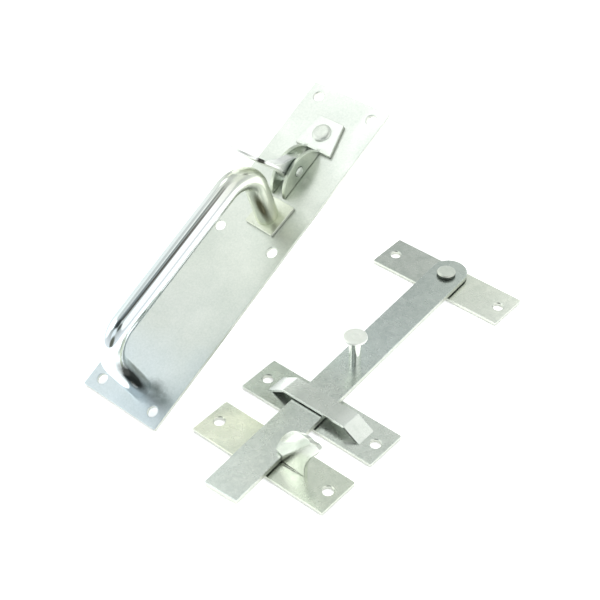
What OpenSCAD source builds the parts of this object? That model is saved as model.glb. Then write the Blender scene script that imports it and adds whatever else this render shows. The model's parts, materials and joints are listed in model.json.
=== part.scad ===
// Thumb latch set for a gate or shed door, in zinc-plated steel.
//
// Two groups lie side by side:
//   - the handle set: a long back plate that leans on its lower edge, with a
//     D-shaped pull handle and a thumb lever hinged in a two-eared bracket;
//   - the latch set: a flat bar that turns on a rivet, a keeper with a hat-shaped
//     bridge that guides the bar, and a catch whose bent hook receives it.
//
// Frame: the origin is the middle of the back of the pivot plate, under the
// bar's rivet. +X runs along the three small plates, +Y from the catch to the
// pivot, +Z away from the surface the latch set is screwed to. Millimetres.

/* [Back plate] */
// Width of the back plate
plate_w = 50; // [46:1:60]
// Length of the back plate
plate_l = 200; // [195:1:220]
// Sheet thickness of the back plate
plate_t = 2; // [1.5:0.5:3]
// Lean of the back plate about its lower edge, degrees
plate_lean = 26.5; // [10:0.5:40]
// Distance of the screw holes from the plate's sides
plate_inset_w = 7.4; // [6:0.1:9]
// Distance of the screw holes from the plate's ends
plate_inset_l = 7; // [6:0.1:9]
// Height of the middle pair of screw holes above the lower edge
plate_mid = 105.5; // [90:0.5:110]

/* [Pull handle] */
// Diameter of the handle rod
rod_d = 12; // [10:0.5:14]
// Distance from the back of the plate to the centre of the grip
grip_out = 45; // [38:1:55]
// Height of the lower leg above the plate's lower edge
leg_low = 13.5; // [13:0.5:20]
// Height of the upper leg above the plate's lower edge
leg_high = 121; // [115:0.5:123]
// Bend radius at the rod's centre line
bend_r = 16; // [12:1:20]
// Sideways offset of the handle from the plate's middle
handle_u = 3.4; // [0:0.1:5]
// Outward lean of the upper leg, degrees
leg_lean = 8.3; // [0:0.1:10]
// Side of the square washer under the upper leg
sq_washer = 18.6; // [16:0.1:20]

/* [Thumb lever] */
// Height of the lever's pin above the plate's lower edge
pin_v = 148.5; // [147:0.5:150]
// Distance of the pin's centre from the back of the plate
pin_n = 7; // [6.5:0.5:8]
// Diameter of the lever's pin
pin_d = 5; // [4:0.5:6]
// Radius of the bracket's round ears
ear_r = 16.1; // [15.5:0.1:16.5]
// Droop of the thumb pad from square to the plate, degrees
pad_droop = 20.6; // [18:0.2:22]
// Width of the thumb pad
pad_w = 25; // [20:1:30]
// Reach of the thumb pad from the pin
pad_reach = 52; // [40:1:54]
// Length of the tail behind the pin
tail_len = 38; // [30:1:40]

/* [Small plates] */
// Length of each small plate
strip_l = 81; // [78:1:90]
// Width of each small plate
strip_w = 24; // [22:1:30]
// Sheet thickness of the small plates
strip_t = 2; // [1.5:0.5:2]
// Distance between the two screw holes of a small plate
strip_pitch = 68; // [66:1:72]
// Diameter of every screw hole
screw_d = 5.5; // [5:0.1:6]

/* [Latch bar] */
// Width of the bar
bar_w = 19; // [16:1:20]
// Thickness of the bar
bar_t = 3; // [2:0.5:3]
// Length of the bar from its rivet to its free end
bar_l = 190.5; // [180:0.5:200]
// Angle of the resting bar from square to its pivot plate, degrees
bar_rest = 3.6; // [3.4:0.1:3.6]
// Diameter of the lifting knob's stem
knob_stem_d = 6.2; // [5:0.1:7]
// Diameter of the lifting knob's head
knob_head_d = 12.2; // [10:0.1:16]
// Height of the lifting knob above the bar
knob_h = 17.5; // [12:0.5:25]

/* [Keeper and catch] */
// Thickness of the keeper's bridge
bridge_t = 1.5; // [1:0.1:2]
// Width of the keeper's bridge
bridge_w = 11.4; // [9:0.2:16]
// Clear height under the keeper's bridge
bridge_gap = 4.5; // [4.3:0.1:6]
// Thickness of the catch hook
hook_t = 2.4; // [2:0.1:3]

/* [Hidden] */
$fn = 64;

// where the lower back edge of the leaning plate rests, under its middle
plate_x = -65.7;
plate_y = -179.4;
// centres of the keeper and catch plates
keeper_x = 11.5;
keeper_y = -119;
catch_x = 13;
catch_y = -155.8;

screw_r = screw_d / 2;
burr = 0.5;          // width of the small bevel round each screw hole
fit = 0.05;          // radial clearance of every pin and rivet
rod_r = rod_d / 2;
pin_r = pin_d / 2;
spigot_r = 4;        // riveted end of each handle leg
rivet_r = 2.5;       // shank of the bracket's rivet
ear_t = 2;           // sheet of the bracket
ear_in = 3;          // half the gap between the ears
ear_n = -2;          // height of the ears' centre above the back of the plate
ear_v = pin_v + 0.5; // height of the ears' centre above the plate's lower edge
neck_t = 5.5;        // thickness of the lever between the ears
tail_t = 4;          // thickness of the lever's tail
pad_t = 2.2;         // thickness of the pad
pad_m = -4.7;        // underside of the pad below the pin's centre
washer_t = 0.8;      // spacer between the pivot plate and the bar
bar_z = strip_t + washer_t;
bar_top = bar_z + bar_t;
bar_end = 3.5;       // how far the bar's round end is centred beyond the rivet
knob_at = 85;        // distance of the knob from the rivet
pivot_r = 3.2;       // shank of the bar's rivet
top_flat = 38;       // length of the bridge's flat top
foot_run = 10;       // sideways run of each sloping end of the bridge
hook_y = -156.6;     // front face of the hook
fold_x = 19.7;       // where the hook's fold starts, beside the resting bar
fold_z = 3.6;
fold_a = 50.4;       // slope of the fold
fold_r = 11.3;       // inner radius of the rolled edge

// ---- placing -------------------------------------------------------------

// frame of the leaning plate: u across, v up the plate, n out of its face
module on_plate() {
    translate([plate_x, plate_y, 0]) rotate([plate_lean, 0, 0]) children();
}

// frame of the thumb lever: x across, y square to the pad, z out along the pad
module on_lever() {
    on_plate() translate([0, pin_v, pin_n]) rotate([pad_droop, 0, 0]) children();
}

// frame of the resting bar: its length runs along -Y from the rivet
module on_bar() {
    rotate([0, 0, bar_rest]) children();
}

// ---- shared shapes --------------------------------------------------------

// screw hole with a small bevel on the outer face, for cutting a sheet
module screw_hole(t) {
    translate([0, 0, -1]) cylinder(r = screw_r, h = t + 2);
    translate([0, 0, t - burr]) cylinder(r1 = screw_r, r2 = screw_r + burr + 0.1, h = burr + 0.1);
}

// small rectangular plate with a screw hole near each end
module strip() {
    difference() {
        translate([-strip_l / 2, -strip_w / 2, 0]) cube([strip_l, strip_w, strip_t]);
        for (s = [-1, 1]) translate([s * strip_pitch / 2, 0, 0]) screw_hole(strip_t);
    }
}

// low domed rivet head, flat side down on z = 0
module dome(r, h) {
    R = (r * r + h * h) / (2 * h);
    rotate_extrude() intersection() {
        translate([0, h - R]) circle(r = R, $fn = 128);
        square([r, h]);
    }
}

// ---- handle set -------------------------------------------------------------

module back_plate() {
    color("gainsboro") on_plate() difference() {
        translate([-plate_w / 2, 0, 0]) cube([plate_w, plate_l, plate_t]);
        for (u = [-1, 1], v = [plate_inset_l, plate_mid, plate_l - plate_inset_l])
            translate([u * (plate_w / 2 - plate_inset_w), v, 0]) screw_hole(plate_t);
        for (v = [leg_low, leg_high])
            translate([handle_u, v, -1]) cylinder(r = spigot_r + fit, h = plate_t + 2);
        translate([-0.5, 174, -1]) cylinder(r = rivet_r + fit, h = plate_t + 2);
        // slot for the lever's tail
        translate([-3.3, pin_v - 6.4, -1]) cube([6.6, 17.6, plate_t + 2]);
    }
}

// straight stretch of an upper leg that leans outwards, and where its bend is centred
leg_foot = plate_t + 2;
bend_v = round(1000 * (leg_high + ((grip_out - bend_r - leg_foot) * sin(leg_lean) - bend_r) / cos(leg_lean))) / 1000;
leg_run = (grip_out - bend_r - leg_foot) * cos(leg_lean) - (leg_high - bend_v) * sin(leg_lean);

module spigot(v, base) {
    translate([handle_u, v, 0]) cylinder(r = spigot_r, h = base + 2);
}

module bend(v, turn, angle) {
    translate([handle_u, v, grip_out - bend_r])
        rotate([0, -90, 0]) rotate([0, 0, turn > 0 ? 0 : -90])
            rotate_extrude(angle = angle) translate([bend_r, 0]) circle(r = rod_r, $fn = 48);
}

module pull_handle() {
    color("silver") on_plate() union() {
        // lower leg, square to the plate
        spigot(leg_low, plate_t);
        translate([handle_u, leg_low, plate_t]) cylinder(r = rod_r, h = grip_out - bend_r - plate_t);
        bend(leg_low + bend_r, -1, 90);
        translate([handle_u, leg_low + bend_r, grip_out]) rotate([-90, 0, 0])
            cylinder(r = rod_r, h = bend_v - leg_low - bend_r);
        // upper bend and upper leg, leaning outwards and cut flat where it stands on the washer
        bend(bend_v, 1, 90 + leg_lean);
        difference() {
            translate([handle_u, bend_v, grip_out - bend_r]) rotate([0, -90, 0]) rotate([0, 0, 90 + leg_lean])
                translate([bend_r, -0.2, 0]) rotate([-90, 0, 0]) cylinder(r = rod_r - 0.01, h = leg_run + 2.2);
            translate([handle_u - 20, leg_high - 20, leg_foot - 20]) cube([40, 40, 20]);
        }
        spigot(leg_high, leg_foot);
    }
}

module handle_washer() {
    color("silver") on_plate() translate([handle_u + 0.4, leg_high + 1.3, plate_t])
        rotate([0, 0, -3]) difference() {
            translate([-sq_washer / 2, -sq_washer / 2, 0]) cube([sq_washer, sq_washer, 2]);
            rotate([0, 0, 3]) translate([-0.4, -1.3, -1]) cylinder(r = spigot_r + fit, h = 4);
        }
}

module ear_outline() {
    difference() {
        union() {
            translate([ear_v, ear_n]) circle(r = ear_r, $fn = 96);
            polygon([[pin_v + 8, 2], [pin_v + 19, 2], [pin_v + 19, 4], [pin_v + 16, 4], [pin_v + 13.5, 6]]);
        }
        // the ears stand just clear of the plate up to where they join the foot
        translate([pin_v - 20, -20]) square([35.5, 22.4]);
        translate([pin_v, -20]) square([20, 22]);
        translate([pin_v, pin_n]) circle(r = pin_r + fit);
    }
}

module lever_bracket() {
    color("gainsboro") on_plate() union() {
        translate([0, 0, plate_t]) linear_extrude(2) difference() {
            polygon([[-8, 183], [7.6, 183], [12.3, pin_v + 15.5], [-11.2, pin_v + 15.5]]);
            translate([-0.5, 174]) circle(r = rivet_r + fit);
        }
        for (u = [-ear_in - ear_t, ear_in])
            translate([u, 0, 0]) rotate([90, 0, 90]) linear_extrude(ear_t) ear_outline();
    }
}

module bracket_rivet() {
    color("silver") on_plate() translate([-0.5, 174, 0]) union() {
        cylinder(r = rivet_r, h = plate_t + 2.5);
        translate([0, 0, plate_t + 2]) dome(5.2, 1.9);
    }
}

// half-width of the pad at distance z from the pin: a rounded shovel
function pad_half(z) =
    let (mid = (pad_reach + 16) / 2, half = (pad_reach - 16) / 2)
    pad_w / 2 * pow(max(0, 1 - pow(abs(z - mid) / half, 2.6)), 0.5);

module pad_outline() {
    n = 20;
    zs = [for (i = [0 : n]) 16 + (pad_reach - 16) * (1 - cos(180 * i / n)) / 2];
    polygon(concat(
        [[neck_t / 2, 8]],
        [for (z = zs) [max(pad_half(z), z < 30 ? neck_t / 2 : 0), z]],
        [for (i = [n - 1 : -1 : 0]) [-max(pad_half(zs[i]), zs[i] < 30 ? neck_t / 2 : 0), zs[i]]],
        [[-neck_t / 2, 8]]));
}

module thumb_lever() {
    color("gainsboro") on_lever() difference() {
        union() {
            // pad
            translate([0, pad_m, 0]) rotate([90, 0, 0]) mirror([0, 0, 1])
                linear_extrude(pad_t) pad_outline();
            // web between the ears, with the boss round the pin
            rotate([90, 0, 90]) translate([0, 0, -neck_t / 2]) linear_extrude(neck_t)
                polygon([[pad_m, 12], [pad_m + pad_t - 0.2, 22], [0.6, 13], [4.6, 7.5], [7, 1],
                         [6.8, -3.5], [-4.8, -3.5], [-6.2, 0], [-6, 5]]);
            // tail
            rotate([90, 0, 90]) translate([0, 0, -tail_t / 2]) linear_extrude(tail_t)
                polygon([[6.8, -3], [6.6, -10], [4.5, -tail_len + 4], [2.5, -tail_len],
                         [-1.5, -tail_len], [-3, -tail_len + 3], [-4.6, -10], [-4.8, -3]]);
        }
        rotate([0, 90, 0]) cylinder(r = pin_r + fit, h = 20, center = true);
    }
}

module lever_pin() {
    color("silver") on_plate() translate([0, pin_v, pin_n]) rotate([0, 90, 0]) union() {
        cylinder(r = pin_r, h = 2 * (ear_in + ear_t), center = true);
        for (s = [0, 1]) mirror([0, 0, s]) translate([0, 0, ear_in + ear_t]) dome(pin_r + 0.3, 0.6);
    }
}

// ---- latch set ---------------------------------------------------------------

module pivot_plate() {
    color("silver") difference() {
        strip();
        translate([0, 0, -1]) cylinder(r = pivot_r + fit, h = strip_t + 2);
    }
}

module pivot_washer() {
    color("gray") translate([0, 0, strip_t]) difference() {
        cylinder(r = 7, h = washer_t);
        translate([0, 0, -1]) cylinder(r = pivot_r + fit, h = washer_t + 2);
    }
}

module latch_bar() {
    color("lightslategray") on_bar() translate([0, 0, bar_z]) difference() {
        union() {
            translate([-bar_w / 2, -bar_l, 0]) cube([bar_w, bar_l + bar_end, bar_t]);
            translate([0, bar_end, 0]) cylinder(r = bar_w / 2, h = bar_t);
        }
        translate([0, 0, -1]) cylinder(r = pivot_r + fit, h = bar_t + 2);
        translate([0, -knob_at, -1]) cylinder(r = rivet_r + fit, h = bar_t + 2);
    }
}

module pivot_rivet() {
    color("silver") union() {
        cylinder(r = pivot_r, h = bar_top + 1);
        translate([0, 0, bar_top + 0.2]) cylinder(r = 5, h = 1.9);
        translate([0, 0, bar_top + 2.1]) cylinder(r1 = 5, r2 = 4.5, h = 0.4);
    }
}

module lift_knob() {
    color("silver") on_bar() translate([0, -knob_at, bar_z]) union() {
        cylinder(r = rivet_r, h = bar_t + 1);
        translate([0, 0, bar_t]) cylinder(r = knob_stem_d / 2, h = knob_h - 1);
        translate([0, 0, bar_t + knob_h - 1.4]) cylinder(r = knob_head_d / 2, h = 1);
        translate([0, 0, bar_t + knob_h - 0.4]) cylinder(r1 = knob_head_d / 2, r2 = knob_head_d / 2 - 0.5, h = 0.4);
    }
}

module keeper_plate() {
    color("silver") translate([keeper_x, keeper_y, 0]) difference() {
        strip();
        for (s = [-1, 1]) translate([s * (top_flat / 2 + foot_run - 2.2) - 1.05, -3.05, -1])
            cube([2.1, 6.1, strip_t + 2]);
    }
}

module keeper_bridge() {
    a = top_flat / 2;
    b = a + foot_run;
    h = bridge_gap + bridge_t;
    slope = atan(h / foot_run);
    k = bridge_t / sin(slope);                 // thickness of a sloping end, measured level
    c = bridge_t * tan(slope / 2);             // shift of the inner corner
    color("silver") translate([keeper_x, keeper_y, strip_t]) union() {
        rotate([90, 0, 0]) translate([0, 0, -bridge_w / 2]) linear_extrude(bridge_w)
            polygon([[-b, 0], [-a, h], [a, h], [b, 0], [b - k, 0],
                     [a - c, bridge_gap], [-a + c, bridge_gap], [-b + k, 0]]);
        // tenons riveted in the plate
        for (s = [-1, 1]) translate([s * (b - 2.2) - 1, -3, -strip_t]) cube([2, 6, strip_t + 0.4]);
    }
}

module catch_plate() {
    color("silver") translate([catch_x, catch_y, 0]) difference() {
        strip();
        translate([fold_x + 3.45 - catch_x, hook_y - catch_y - 0.05, -1])
            cube([7.6, hook_t + 0.1, strip_t + 2]);
    }
}

// outline of the hook seen along the bar: stem, lip over the bar, sloping ramp
module hook_outline() {
    d = [cos(fold_a), sin(fold_a)];
    e = [-sin(fold_a), cos(fold_a)];
    n = 22;
    ramp = [for (i = [0 : n]) let (a = 166 - i * 158 / n)
            [fold_x, fold_z] + (13 + 17.2 * cos(a)) * d + 9.8 * sin(a) * e];
    polygon(concat(
        [[fold_x, strip_t], [fold_x, bar_top + 0.7], [fold_x - 4.4, bar_top + 0.9]],
        [for (p = ramp) if (p[1] > bar_top + 1.4) p],
        [[fold_x + 21.4, 28], [fold_x + 23, 26.5], [fold_x + 23, 25],
         [fold_x + 20.6, 21.2], [fold_x + 17.6, 17.2], [fold_x + 15.4, 12.6],
         [fold_x + 14.1, 8], [fold_x + 13.8, strip_t]]));
}

module catch_hook() {
    color("gainsboro") union() {
        intersection() {
            // flat sheet whose upper left side is rolled back about the sloping fold
            translate([fold_x, hook_y, fold_z]) rotate([0, -fold_a, 0])
                rotate([0, -90, 0]) rotate([0, 0, 180]) translate([0, 0, -45]) linear_extrude(60)
                    union() {
                        translate([0, -hook_t]) square([30, hook_t]);
                        intersection() {
                            translate([0, -fold_r - hook_t]) difference() {
                                circle(r = fold_r + hook_t, $fn = 128);
                                circle(r = fold_r, $fn = 128);
                            }
                            translate([-30, -fold_r - hook_t]) square([30.01, 30]);
                        }
                    }
            translate([0, hook_y + 30, 0]) rotate([90, 0, 0]) linear_extrude(60) hook_outline();
        }
        // tenon riveted in the plate
        translate([fold_x + 3.5, hook_y, 0]) cube([7.5, hook_t, strip_t + 0.5]);
    }
}

back_plate();
pull_handle();
handle_washer();
lever_bracket();
bracket_rivet();
thumb_lever();
lever_pin();
pivot_plate();
pivot_washer();
latch_bar();
pivot_rivet();
lift_knob();
keeper_plate();
keeper_bridge();
catch_plate();
catch_hook();
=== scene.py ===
import json
import math

import bpy
from mathutils import Matrix, Vector, noise
from mathutils.geometry import delaunay_2d_cdt


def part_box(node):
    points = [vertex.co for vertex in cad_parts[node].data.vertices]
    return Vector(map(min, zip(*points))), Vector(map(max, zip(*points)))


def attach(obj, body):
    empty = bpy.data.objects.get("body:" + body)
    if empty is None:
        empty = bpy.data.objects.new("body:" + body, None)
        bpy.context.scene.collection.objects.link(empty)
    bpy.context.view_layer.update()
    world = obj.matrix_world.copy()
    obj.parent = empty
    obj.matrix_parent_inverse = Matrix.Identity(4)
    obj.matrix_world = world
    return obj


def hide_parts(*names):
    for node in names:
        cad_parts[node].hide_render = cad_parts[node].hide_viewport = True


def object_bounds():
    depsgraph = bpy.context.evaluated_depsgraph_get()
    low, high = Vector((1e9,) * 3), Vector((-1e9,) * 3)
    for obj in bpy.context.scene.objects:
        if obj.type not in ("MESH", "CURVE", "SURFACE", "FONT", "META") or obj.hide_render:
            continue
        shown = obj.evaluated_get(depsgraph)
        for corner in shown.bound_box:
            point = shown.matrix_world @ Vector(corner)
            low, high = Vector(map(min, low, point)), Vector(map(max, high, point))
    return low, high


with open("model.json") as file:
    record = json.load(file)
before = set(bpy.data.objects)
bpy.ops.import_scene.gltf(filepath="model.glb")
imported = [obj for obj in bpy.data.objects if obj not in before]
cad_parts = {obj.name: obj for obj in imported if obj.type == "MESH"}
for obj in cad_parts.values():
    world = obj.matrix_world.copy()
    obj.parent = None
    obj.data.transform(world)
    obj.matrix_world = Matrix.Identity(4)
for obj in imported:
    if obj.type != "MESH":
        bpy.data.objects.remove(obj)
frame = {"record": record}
CAD_BOX = [[float(c) for c in corner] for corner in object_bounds()]

# ---------------------------------------------------------------- the frame's own facts
MM = 0.001
REC = frame["record"]
MOUNT = {m["name"]: m for m in REC["mounts"]}
JOINT = {j["name"]: j for j in REC["behaviour"]["joints"]}


def mm(v):
    return Vector(v) * 1000.0


# leaning back plate: U across, V up the plate, N out of its face, all in millimetres
N = Vector(MOUNT["plate_screws_middle"]["axis"]).normalized()
U = Vector((1, 0, 0))
V = N.cross(U)
O_PLATE = mm(MOUNT["plate_screws_lower"]["pos_m"]) - V * 7.0
MID_V = (mm(MOUNT["plate_screws_middle"]["pos_m"]) - O_PLATE).dot(V)
PLATE_L = 200.0
PLATE_T = 2.0
HOLE_U = MOUNT["plate_screws_lower"]["dims"]["pcd_mm"] / 2
HOLE_R = MOUNT["plate_screws_lower"]["dims"]["hole_r_mm"]
PIN = mm(JOINT["thumb_lever_hinge"]["pos_m"])
PIN_V, PIN_N = (PIN - O_PLATE).dot(V), (PIN - O_PLATE).dot(N)


def on_plate(u, v, n):
    return O_PLATE + U * u + V * v + N * n


# thumb lever: x across, y square to the pad, z out along the pad
DROOP = math.radians(20.6)
LY = V * math.cos(DROOP) + N * math.sin(DROOP)
LZ = -V * math.sin(DROOP) + N * math.cos(DROOP)


def on_lever(x, y, z):
    return PIN + U * x + LY * y + LZ * z


# resting bar: x across, y towards its rivet, z up from the floor
REST = math.radians(3.6)
BX = Vector((math.cos(REST), math.sin(REST), 0))
BY = Vector((-math.sin(REST), math.cos(REST), 0))


def on_bar(x, y, z):
    return BX * x + BY * y + Vector((0, 0, z))


def middle(node):
    lo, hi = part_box(node)
    return (lo + hi) * 500.0, (hi - lo) * 1000.0


BAR_LO, BAR_HI = (mm(c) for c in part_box("latch_bar"))
BAR_Z, BAR_TOP = BAR_LO.z, BAR_HI.z

# ---------------------------------------------------------------- mesh tools


def ring(cx, cy, r, n=56, cw=False):
    pts = [(cx + r * math.cos(2 * math.pi * i / n), cy + r * math.sin(2 * math.pi * i / n)) for i in range(n)]
    return pts[::-1] if cw else pts


def rounded(pts, radii, steps=5):
    """The closed outline pts with its corners rounded."""
    out = []
    count = len(pts)
    for i in range(count):
        r = radii[i] if isinstance(radii, (list, tuple)) else radii
        p, a, b = Vector(pts[i]), Vector(pts[i - 1]), Vector(pts[(i + 1) % count])
        da, db = (a - p), (b - p)
        la, lb = da.length, db.length
        da.normalize(), db.normalize()
        ang = da.angle(db, math.pi)
        if r <= 0 or abs(math.pi - ang) < 0.02:
            out.append(tuple(p))
            continue
        cut = min(r / math.tan(ang / 2), 0.48 * la, 0.48 * lb)
        rr = cut * math.tan(ang / 2)
        s, e = p + da * cut, p + db * cut
        c = p + (da + db).normalized() * (rr / math.sin(ang / 2))
        vs, ve = s - c, e - c
        turn = vs.angle_signed(ve)
        m = max(2, int(steps * abs(turn) / (math.pi / 2) + 0.5))
        for k in range(m + 1):
            t = -turn * k / m
            out.append((c.x + vs.x * math.cos(t) - vs.y * math.sin(t), c.y + vs.x * math.sin(t) + vs.y * math.cos(t)))
    clean = []
    for q in out:
        if not clean or (Vector(q) - Vector(clean[-1])).length > 1e-3:
            clean.append(q)
    if (Vector(clean[0]) - Vector(clean[-1])).length < 1e-3:
        clean.pop()
    return clean


def area(loop):
    return 0.5 * sum(loop[i - 1][0] * loop[i][1] - loop[i][0] * loop[i - 1][1] for i in range(len(loop)))


def ccw(loop):
    return loop if area(loop) > 0 else loop[::-1]


def inset(loop, d):
    """Moves a loop d to its left, with mitred corners."""
    if abs(d) < 1e-9:
        return list(loop)
    out = []
    count = len(loop)
    for i in range(count):
        p, a, b = Vector(loop[i]), Vector(loop[i - 1]), Vector(loop[(i + 1) % count])
        t1, t2 = (p - a).normalized(), (b - p).normalized()
        n1, n2 = Vector((-t1.y, t1.x)), Vector((-t2.y, t2.x))
        m = n1 + n2
        k = m.length_squared
        m = m * (2.0 / k) if k > 0.35 else m.normalized() * 1.4
        q = p + m * d
        out.append((q.x, q.y))
    return out


def inside(x, y, loops):
    hit = False
    for lp in loops:
        x0, y0 = lp[-1]
        for x1, y1 in lp:
            if (y0 > y) != (y1 > y) and x < (x1 - x0) * (y - y0) / (y1 - y0) + x0:
                hit = not hit
            x0, y0 = x1, y1
    return hit


def cap(loops, grid):
    verts, edges = [], []
    for lp in loops:
        b, n = len(verts), len(lp)
        verts += [Vector(p) for p in lp]
        edges += [(b + i, b + (i + 1) % n) for i in range(n)]
    rim = len(verts)
    if grid:
        xs, ys = [v.x for v in verts], [v.y for v in verts]
        nx, ny = int((max(xs) - min(xs)) / grid) + 1, int((max(ys) - min(ys)) / grid) + 1
        for i in range(nx + 1):
            for j in range(ny + 1):
                x, y = min(xs) + grid * (i + 0.5 * (j % 2)), min(ys) + grid * (j + 0.3)
                if not inside(x, y, loops):
                    continue
                if min((v.x - x) ** 2 + (v.y - y) ** 2 for v in verts[:rim]) > (0.55 * grid) ** 2:
                    verts.append(Vector((x, y)))
    _, _, faces, orig, _, _ = delaunay_2d_cdt(verts, edges, [], 0, 1e-7)
    ids = [o[0] if o else 0 for o in orig]
    tris = []
    for f in faces:
        f = [ids[i] for i in f]
        cx = sum(verts[i].x for i in f) / len(f)
        cy = sum(verts[i].y for i in f) / len(f)
        if inside(cx, cy, loops):
            tris.append(f)
    return [tuple(v) for v in verts[rim:]], tris


def rim(t, r, steps=3, bottom=None):
    """Edge profile of a sheet, (inset, height), from its top face to its bottom face."""
    rb = r if bottom is None else bottom
    pts = []
    for k in range(steps + 1):
        a = math.pi / 2 * k / steps
        pts.append((r - r * math.sin(a), t - r + r * math.cos(a)))
    for k in range(steps + 1):
        a = math.pi / 2 * k / steps
        pts.append((rb - rb * math.cos(a), rb - rb * math.sin(a)))
    return pts


def bevelled(t, b, soft=0.12):
    """Hole edge with a straight bevel of width b at the top."""
    return [(b + soft, t), (b + 0.3 * soft, t - 0.25 * soft), (b - 0.5 * soft, t - 0.7 * soft),
            (0.5 * soft, t - b + 0.3 * soft), (0.1 * soft, t - b - 0.2 * soft), (0, t - b - 0.8 * soft),
            (0, soft), (0.3 * soft, 0.3 * soft), (soft, 0)]


def mesh_object(name, verts, faces, sharp=38.0, kinds=None):
    me = bpy.data.meshes.new(name)
    me.from_pydata([tuple(Vector(v) * MM) for v in verts], [], faces)
    if kinds:
        for poly, kind in zip(me.polygons, kinds):
            poly.material_index = kind
    me.validate()
    me.update()
    me.shade_smooth()
    me.set_sharp_from_angle(angle=math.radians(sharp))
    ob = bpy.data.objects.new(name, me)
    bpy.context.scene.collection.objects.link(ob)
    return ob


def sheet(name, loops, profs, place, grid=0.0, sharp=38.0, edges=False):
    """Sheet with holes: each loop has its own edge profile; place maps (x, y, height) to the row frame.
    With edges, the cut sides and the lower arris carry materials of their own; the lower arris carries painted contact
    shadow."""
    verts, faces, kinds = [], [], []
    tops, bottoms = [], []
    for k, lp in enumerate(loops):
        lp = ccw(lp) if k == 0 else ccw(lp)[::-1]
        prof = profs[k] if isinstance(profs[0], list) else profs
        n = len(lp)
        base = len(verts)
        for j, (d, z) in enumerate(prof):
            pts = inset(lp, d)
            verts += [place(x, y, z) for x, y in pts]
            if j == 0:
                tops.append((base, pts, z))
            if j == len(prof) - 1:
                bottoms.append((base + j * n, pts, z))
        depth = prof[0][1] - prof[-1][1]
        for j in range(len(prof) - 1):
            low = (prof[j][1] - prof[-1][1]) / depth
            kind = 0
            # kind 1 is the cut side, kind 2 the lower arris with its painted contact shadow
            if edges and low < 0.93:
                kind = 1 if low > 0.3 else 2
            for i in range(n):
                a, b = base + j * n + i, base + (j + 1) * n + i
                c, d = base + (j + 1) * n + (i + 1) % n, base + j * n + (i + 1) % n
                faces.append((a, b, c, d))
                kinds.append(kind)
    for group, flip in ((tops, False), (bottoms, True)):
        extra, tris = cap([g[1] for g in group], grid)
        index = []
        for b, pts, z in group:
            index += list(range(b, b + len(pts)))
        z = group[0][2]
        start = len(verts)
        verts += [place(x, y, z) for x, y in extra]
        index += list(range(start, start + len(extra)))
        for f in tris:
            f = [index[i] for i in f]
            faces.append(tuple(f[::-1]) if flip else tuple(f))
            kinds.append(0)
    # a mirrored placing turns the faces inside out
    o = place(0, 0, 0)
    if (place(1, 0, 0) - o).cross(place(0, 1, 0) - o).dot(place(0, 0, 1) - o) < 0:
        faces = [f[::-1] for f in faces]
    return mesh_object(name, verts, faces, sharp, kinds)


def lathe(name, prof, place, n=72, sharp=38.0, wobble=None, kind=None):
    """Solid of revolution about z; prof runs from the top of the axis to its bottom, (radius, height)."""
    verts, faces, kinds = [], [], []
    rings = []
    for r, z in prof:
        if r < 1e-6:
            rings.append([len(verts)])
            verts.append(place(0, 0, z))
        else:
            rings.append(list(range(len(verts), len(verts) + n)))
            for i in range(n):
                a = 2 * math.pi * i / n
                rr, zz = (r, z) if wobble is None else wobble(r, z, a)
                verts.append(place(rr * math.cos(a), rr * math.sin(a), zz))
    for k, (p, q) in enumerate(zip(rings, rings[1:])):
        for i in range(n):
            j = (i + 1) % n
            kinds.append(0 if kind is None else kind(*prof[k], *prof[k + 1]))
            if len(p) == 1:
                faces.append((p[0], q[i], q[j]))
            elif len(q) == 1:
                faces.append((p[i], q[0], p[j]))
            else:
                faces.append((p[i], q[i], q[j], p[j]))
    o = place(0, 0, 0)
    if (place(1, 0, 0) - o).cross(place(0, 1, 0) - o).dot(place(0, 0, 1) - o) < 0:
        faces = [f[::-1] for f in faces]
    return mesh_object(name, verts, faces, sharp, kinds)


def fillet(r0, z0, r1, z1, bulge=1, steps=5):
    """Quarter-ellipse between two profile points; bulge 1 rounds outwards, -1 inwards."""
    out = []
    for k in range(steps + 1):
        a = math.pi / 2 * k / steps
        if bulge > 0:
            out.append((r0 + (r1 - r0) * math.sin(a), z1 + (z0 - z1) * math.cos(a)))
        else:
            out.append((r0 + (r1 - r0) * (1 - math.cos(a)), z0 + (z1 - z0) * math.sin(a)))
    return out


def join(name, *objects):
    """One object from several closed meshes that touch."""
    verts, faces, kinds = [], [], []
    for ob in objects:
        b = len(verts)
        kinds += [p.material_index for p in ob.data.polygons]
        verts += [Vector(v.co) * 1000 for v in ob.data.vertices]
        faces += [tuple(b + i for i in p.vertices) for p in ob.data.polygons]
        me = ob.data
        bpy.data.objects.remove(ob)
        bpy.data.meshes.remove(me)
    return mesh_object(name, verts, faces, kinds=kinds)


def place_piece(ob, node, body, mat, weighted=True, side=None):
    ob.data.materials.append(mat)
    if max(p.material_index for p in ob.data.polygons) > 0:
        second, third = side if side else (Z_CUT_EDGE_AND_SHADE, Z_ARRIS_PAINTED_SHADOW)
        ob.data.materials.append(second)
        ob.data.materials.append(third)
    if weighted:
        w = ob.modifiers.new("face_weighted_shading", "WEIGHTED_NORMAL")
        w.mode = "FACE_AREA"
        w.weight = 90
        w.keep_sharp = True
    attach(ob, body)
    if node:
        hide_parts(node)
    return ob


# ---------------------------------------------------------------- materials


def srgb(r, g, b):
    def lin(c):
        c /= 255.0
        return c / 12.92 if c <= 0.04045 else ((c + 0.055) / 1.055) ** 2.4
    return (lin(r), lin(g), lin(b), 1.0)


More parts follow.
